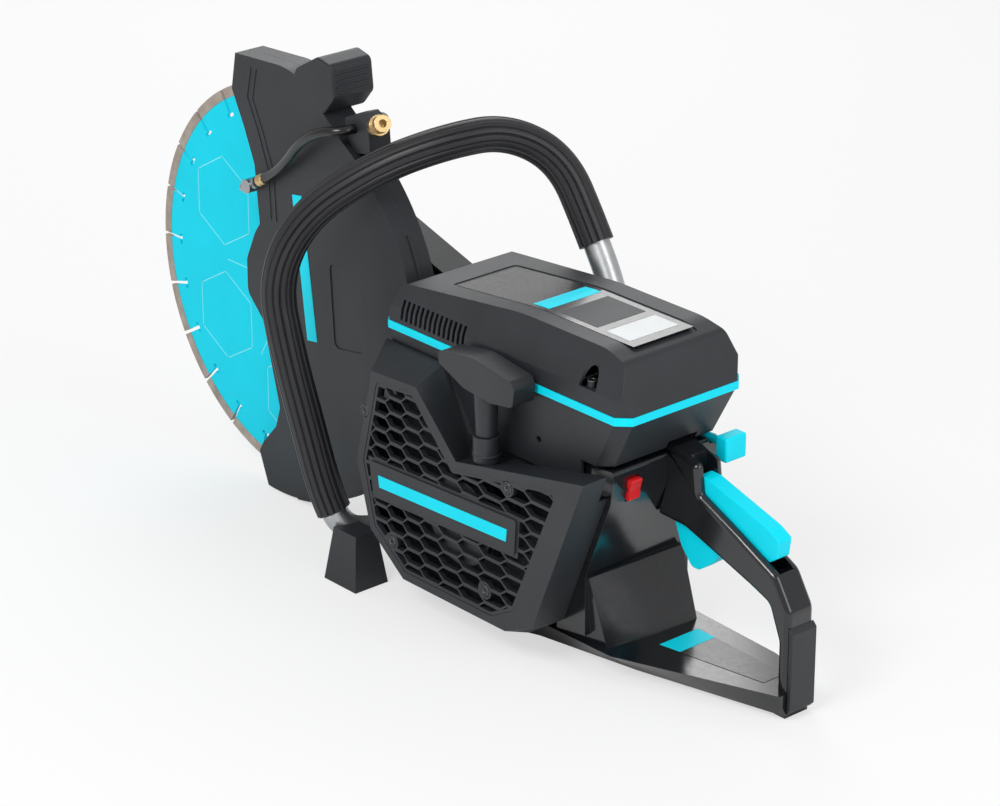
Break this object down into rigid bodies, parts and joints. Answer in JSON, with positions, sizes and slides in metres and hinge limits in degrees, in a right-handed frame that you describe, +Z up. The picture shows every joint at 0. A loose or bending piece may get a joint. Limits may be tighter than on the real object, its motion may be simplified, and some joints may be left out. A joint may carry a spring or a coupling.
{
  "type": "rescue saw",
  "caption": "Hand-held petrol cutting saw with a guarded segmented blade, wrap-around front handle, recoil starter, water kit and a closed rear handle.",
  "frame": {"origin": "bottom centre of the bounding box, on the floor the feet and skids stand on", "axes": "+X from the rear handle to the blade, +Y to the starter side, +Z up"},
  "size_m": [0.753, 0.2144, 0.4045],
  "materials": {
    "matte_black": "matt",
    "gloss_black": "gloss",
    "turquoise": "satin",
    "turquoise_trim": "satin",
    "red": "gloss",
    "rubber_black": "matt",
    "galvanised": "satin",
    "steel": "satin",
    "segment": "sintered",
    "cast": "cast",
    "brass": "satin",
    "nylon": "satin",
    "rope": "woven"
  },
  "bodies": {
    "frame": {"top_cover": "matte_black", "engine_shroud": "matte_black", "starter_cover": "matte_black", "starter_grille": "matte_black", "belt_cover": "matte_black", "front_feet": "matte_black", "rear_pad": "matte_black", "rope_guide": "matte_black", "fuel_tank": "gloss_black", "rear_handle": "gloss_black", "air_filter": "gloss_black", "cover_stripe": "turquoise_trim", "handle_sleeve": "rubber_black", "v_belt": "rubber_black", "spark_plug": "rubber_black", "front_handle_tube": "galvanised", "handle_bracket": "galvanised", "arbor_bearings": "steel", "arm_bolts": "steel", "guard_retainer": "steel", "crank_bearings": "steel", "muffler": "steel", "cover_screws": "steel", "starter_screws": "steel", "recoil_spring": "steel", "cutting_arm": "cast", "crankcase": "cast", "cylinder": "cast", "piston": "cast", "carburettor": "cast", "starter_spider": "nylon", "starter_rope": "rope"},
    "arbor": {"blade_core": "turquoise", "blade_segments": "segment", "outer_flange": "steel", "inner_flange": "steel", "blade_bolt": "steel", "arbor_shaft": "steel", "driven_pulley": "steel"},
    "guard": {"guard_left_shell": "matte_black", "guard_right_shell": "matte_black", "guard_grip": "matte_black", "water_bracket": "matte_black", "water_connector": "brass", "hose_left": "rubber_black", "hose_right": "rubber_black", "water_nozzles": "steel"},
    "crank": {"crankshaft": "steel", "flywheel": "cast", "clutch_shoes": "steel"},
    "rod": {"connecting_rod": "steel"},
    "drum": {"clutch_drum": "steel"},
    "rope_drum": {"starter_pulley": "nylon", "rope_coil": "rope"},
    "pull_grip": {"starter_grip": "matte_black"},
    "trigger": {"throttle_trigger": "turquoise_trim"},
    "lockout": {"lockout_lever": "turquoise_trim"},
    "rocker": {"stop_switch": "red"},
    "choke": {"choke_knob": "turquoise_trim"},
    "cap": {"fuel_cap": "gloss_black"}
  },
  "joints": [
    {"name": "arbor_spin", "type": "hinge", "parent": "frame", "child": "arbor", "pos_m": [0.2015, 0.01058, 0.184], "axis": [0, 1, 0], "continuous": true},
    {"name": "drum_spin", "type": "hinge", "parent": "frame", "child": "drum", "pos_m": [-0.1035, -0.06342, 0.098], "axis": [0, 1, 0], "continuous": true},
    {"name": "crank_spin", "type": "hinge", "parent": "frame", "child": "crank", "pos_m": [-0.1035, 0.01058, 0.098], "axis": [0, 1, 0], "continuous": true},
    {"name": "rod_swing", "type": "hinge", "parent": "crank", "child": "rod", "pos_m": [-0.1035, 0.01058, 0.115], "axis": [0, 1, 0], "continuous": true},
    {"name": "guard_tilt", "type": "hinge", "parent": "frame", "child": "guard", "pos_m": [0.2015, 0.01058, 0.184], "axis": [0, 1, 0], "range_deg": [0, 40]},
    {"name": "starter_pull", "type": "slide", "parent": "frame", "child": "pull_grip", "axis": [0, 0, 1], "range_m": [0, 0.8], "stiffness_N_per_m": 12, "springref_m": -0.4, "deforming": ["starter_rope"]},
    {"name": "rope_drum_spin", "type": "hinge", "parent": "frame", "child": "rope_drum", "pos_m": [-0.1035, 0.08058, 0.098], "axis": [0, 1, 0], "range_deg": [0, 1530]},
    {"name": "throttle_trigger", "type": "hinge", "parent": "frame", "child": "trigger", "pos_m": [-0.2475, -0.01542, 0.127], "axis": [0, 1, 0], "range_deg": [0, 14], "stiffness_Nm_per_rad": 1, "springref_deg": -11.46},
    {"name": "throttle_lockout", "type": "hinge", "parent": "frame", "child": "lockout", "pos_m": [-0.268, -0.01542, 0.157], "axis": [0, -1, 0], "range_deg": [0, 8], "stiffness_Nm_per_rad": 1, "springref_deg": -17.19},
    {"name": "stop_switch", "type": "hinge", "parent": "frame", "child": "rocker", "pos_m": [-0.2415, 0.03558, 0.158], "axis": [0, 1, 0], "range_deg": [0, 8]},
    {"name": "choke_pull", "type": "slide", "parent": "frame", "child": "choke", "axis": [-1, 0, 0], "range_m": [0, 0.012]},
    {"name": "fuel_cap_turn", "type": "hinge", "parent": "frame", "child": "cap", "pos_m": [-0.1935, -0.05842, 0.07], "axis": [0, -1, 0], "range_deg": [0, 90]}
  ],
  "couplings": [
    {"joint": "drum_spin", "follows": "arbor_spin", "ratio": 1.8333},
    {"joint": "rod_swing", "follows": "crank_spin", "ratio": -1},
    {"joint": "rope_drum_spin", "follows": "starter_pull", "rad_per_m": 33.333}
  ]
}
